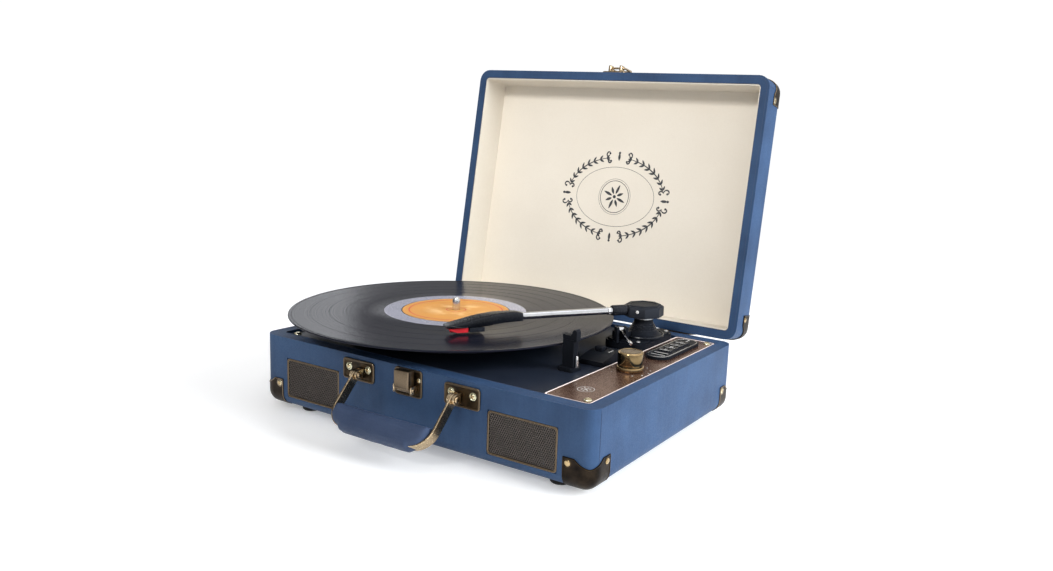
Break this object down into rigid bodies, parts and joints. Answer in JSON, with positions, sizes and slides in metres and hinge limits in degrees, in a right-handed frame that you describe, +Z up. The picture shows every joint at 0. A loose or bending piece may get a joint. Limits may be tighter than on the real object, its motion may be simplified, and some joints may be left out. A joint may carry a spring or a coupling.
{
  "type": "suitcase record player",
  "caption": "Portable record player built into a case with a hinged lid, front carry handle, latch, front speakers, belt-driven platter with a record on it, tonearm, volume knob and buttons.",
  "frame": {"origin": "centre of the footprint on the floor, under the whole object with its lid open and a record on", "axes": "+X to the right along the front, +Y from the front to the back, +Z up"},
  "size_m": [0.3812, 0.3864, 0.3319],
  "materials": {
    "leather_blue": "embossed leatherette over fibreboard",
    "lining_cream": "matt paper lining",
    "bronze": "antique bronze plate",
    "brass": "polished",
    "chrome": "polished",
    "steel": "satin",
    "black_plastic": "satin",
    "deck_dark": "satin",
    "panel_brown": "mirror-like brown",
    "board_green": "circuit board",
    "vinyl": "grooved vinyl",
    "label_orange": "printed paper",
    "stylus_red": "moulded red",
    "rubber": "matt"
  },
  "bodies": {
    "case": {"case_shell": "leather_blue", "grille_left": "bronze", "grille_right": "bronze", "speaker_left": "black_plastic", "speaker_right": "black_plastic", "socket_plate": "black_plastic", "foot_front_left": "rubber", "foot_front_right": "rubber", "foot_back_left": "rubber", "foot_back_right": "rubber", "guard_base_front_left": "bronze", "guard_base_front_right": "bronze", "guard_base_back_left": "bronze", "guard_base_back_right": "bronze", "deck_plate": "deck_dark", "control_panel": "panel_brown", "control_board": "board_green", "media_module": "black_plastic", "motor": "steel", "drive_belt": "rubber", "tonearm_plinth": "black_plastic", "arm_rest": "black_plastic", "speed_switch_housing": "black_plastic", "hinge_leaf_base_left": "bronze", "hinge_leaf_base_right": "bronze", "latch_plate": "bronze", "handle_bracket_left": "bronze", "handle_bracket_right": "bronze"},
    "lid": {"lid_shell": "leather_blue", "lid_lining": "lining_cream", "guard_lid_front_left": "bronze", "guard_lid_front_right": "bronze", "guard_lid_back_left": "bronze", "guard_lid_back_right": "bronze", "hinge_leaf_lid_left": "bronze", "hinge_leaf_lid_right": "bronze", "hasp_plate": "bronze"},
    "hasp": {"hasp_loop": "bronze"},
    "latch": {"latch_lever": "bronze"},
    "handle": {"handle_bar": "brass", "handle_grip": "leather_blue"},
    "turntable": {"platter": "black_plastic", "platter_mat": "rubber", "record": "vinyl", "record_label": "label_orange", "spindle": "chrome"},
    "pulley": {"motor_pulley": "brass"},
    "knob": {"volume_knob": "brass"},
    "button_1": {"button_1": "black_plastic"},
    "button_2": {"button_2": "black_plastic"},
    "button_3": {"button_3": "black_plastic"},
    "button_4": {"button_4": "black_plastic"},
    "arm_yoke": {"tonearm_yoke": "black_plastic"},
    "arm": {"tonearm_cap": "black_plastic", "tonearm_tube": "chrome", "headshell": "black_plastic", "cartridge": "black_plastic", "stylus": "stylus_red"},
    "cue": {"cue_lever": "steel"},
    "speed_tab": {"speed_switch_tab": "black_plastic"}
  },
  "joints": [
    {"name": "lid_hinge", "type": "hinge", "parent": "case", "child": "lid", "pos_m": [0.0142, 0.11074, 0.06775], "axis": [-1, 0, 0], "range_deg": [-36, 0]},
    {"name": "hasp_hinge", "type": "hinge", "parent": "lid", "child": "hasp", "pos_m": [0.0142, 0.16198, 0.32876], "axis": [1, 0, 0], "range_deg": [0, 170]},
    {"name": "latch_hinge", "type": "hinge", "parent": "case", "child": "latch", "pos_m": [0.0142, -0.15511, 0.0525], "axis": [1, 0, 0], "range_deg": [0, 75]},
    {"name": "handle_hinge", "type": "hinge", "parent": "case", "child": "handle", "pos_m": [0.0142, -0.15631, 0.055], "axis": [-1, 0, 0], "range_deg": [-34, 68]},
    {"name": "platter_spin", "type": "hinge", "parent": "case", "child": "turntable", "pos_m": [-0.0401, -0.02751, 0.085], "axis": [0, 0, 1], "continuous": true},
    {"name": "pulley_spin", "type": "hinge", "parent": "case", "child": "pulley", "pos_m": [-0.09667, 0.02906, 0.077], "axis": [0, 0, 1], "continuous": true},
    {"name": "volume_turn", "type": "hinge", "parent": "case", "child": "knob", "pos_m": [0.1562, -0.03781, 0.077], "axis": [0, 0, 1], "range_deg": [-140, 140]},
    {"name": "button_1_press", "type": "slide", "parent": "case", "child": "button_1", "axis": [0, 0, -1], "range_m": [0, 0.0008], "stiffness_N_per_m": 300, "springref_m": -0.001},
    {"name": "button_2_press", "type": "slide", "parent": "case", "child": "button_2", "axis": [0, 0, -1], "range_m": [0, 0.0008], "stiffness_N_per_m": 300, "springref_m": -0.001},
    {"name": "button_3_press", "type": "slide", "parent": "case", "child": "button_3", "axis": [0, 0, -1], "range_m": [0, 0.0008], "stiffness_N_per_m": 300, "springref_m": -0.001},
    {"name": "button_4_press", "type": "slide", "parent": "case", "child": "button_4", "axis": [0, 0, -1], "range_m": [0, 0.0008], "stiffness_N_per_m": 300, "springref_m": -0.001},
    {"name": "tonearm_swing", "type": "hinge", "parent": "case", "child": "arm_yoke", "pos_m": [0.1182, 0.05569, 0.097], "axis": [0, 0, 1], "range_deg": [-11, 30.1]},
    {"name": "tonearm_lift", "type": "hinge", "parent": "arm_yoke", "child": "arm", "pos_m": [0.1182, 0.05569, 0.097], "axis": [-0.843, 0.5379, 0], "range_deg": [0, 15]},
    {"name": "cue_lever_hinge", "type": "hinge", "parent": "case", "child": "cue", "pos_m": [0.1092, 0.02769, 0.084], "axis": [-0.6919, -0.722, 0], "range_deg": [0, 35]},
    {"name": "speed_switch_slide", "type": "slide", "parent": "case", "child": "speed_tab", "axis": [0, 1, 0], "range_m": [0, 0.006]}
  ],
  "couplings": [
    {"joint": "pulley_spin", "follows": "platter_spin", "ratio": 15.043}
  ]
}
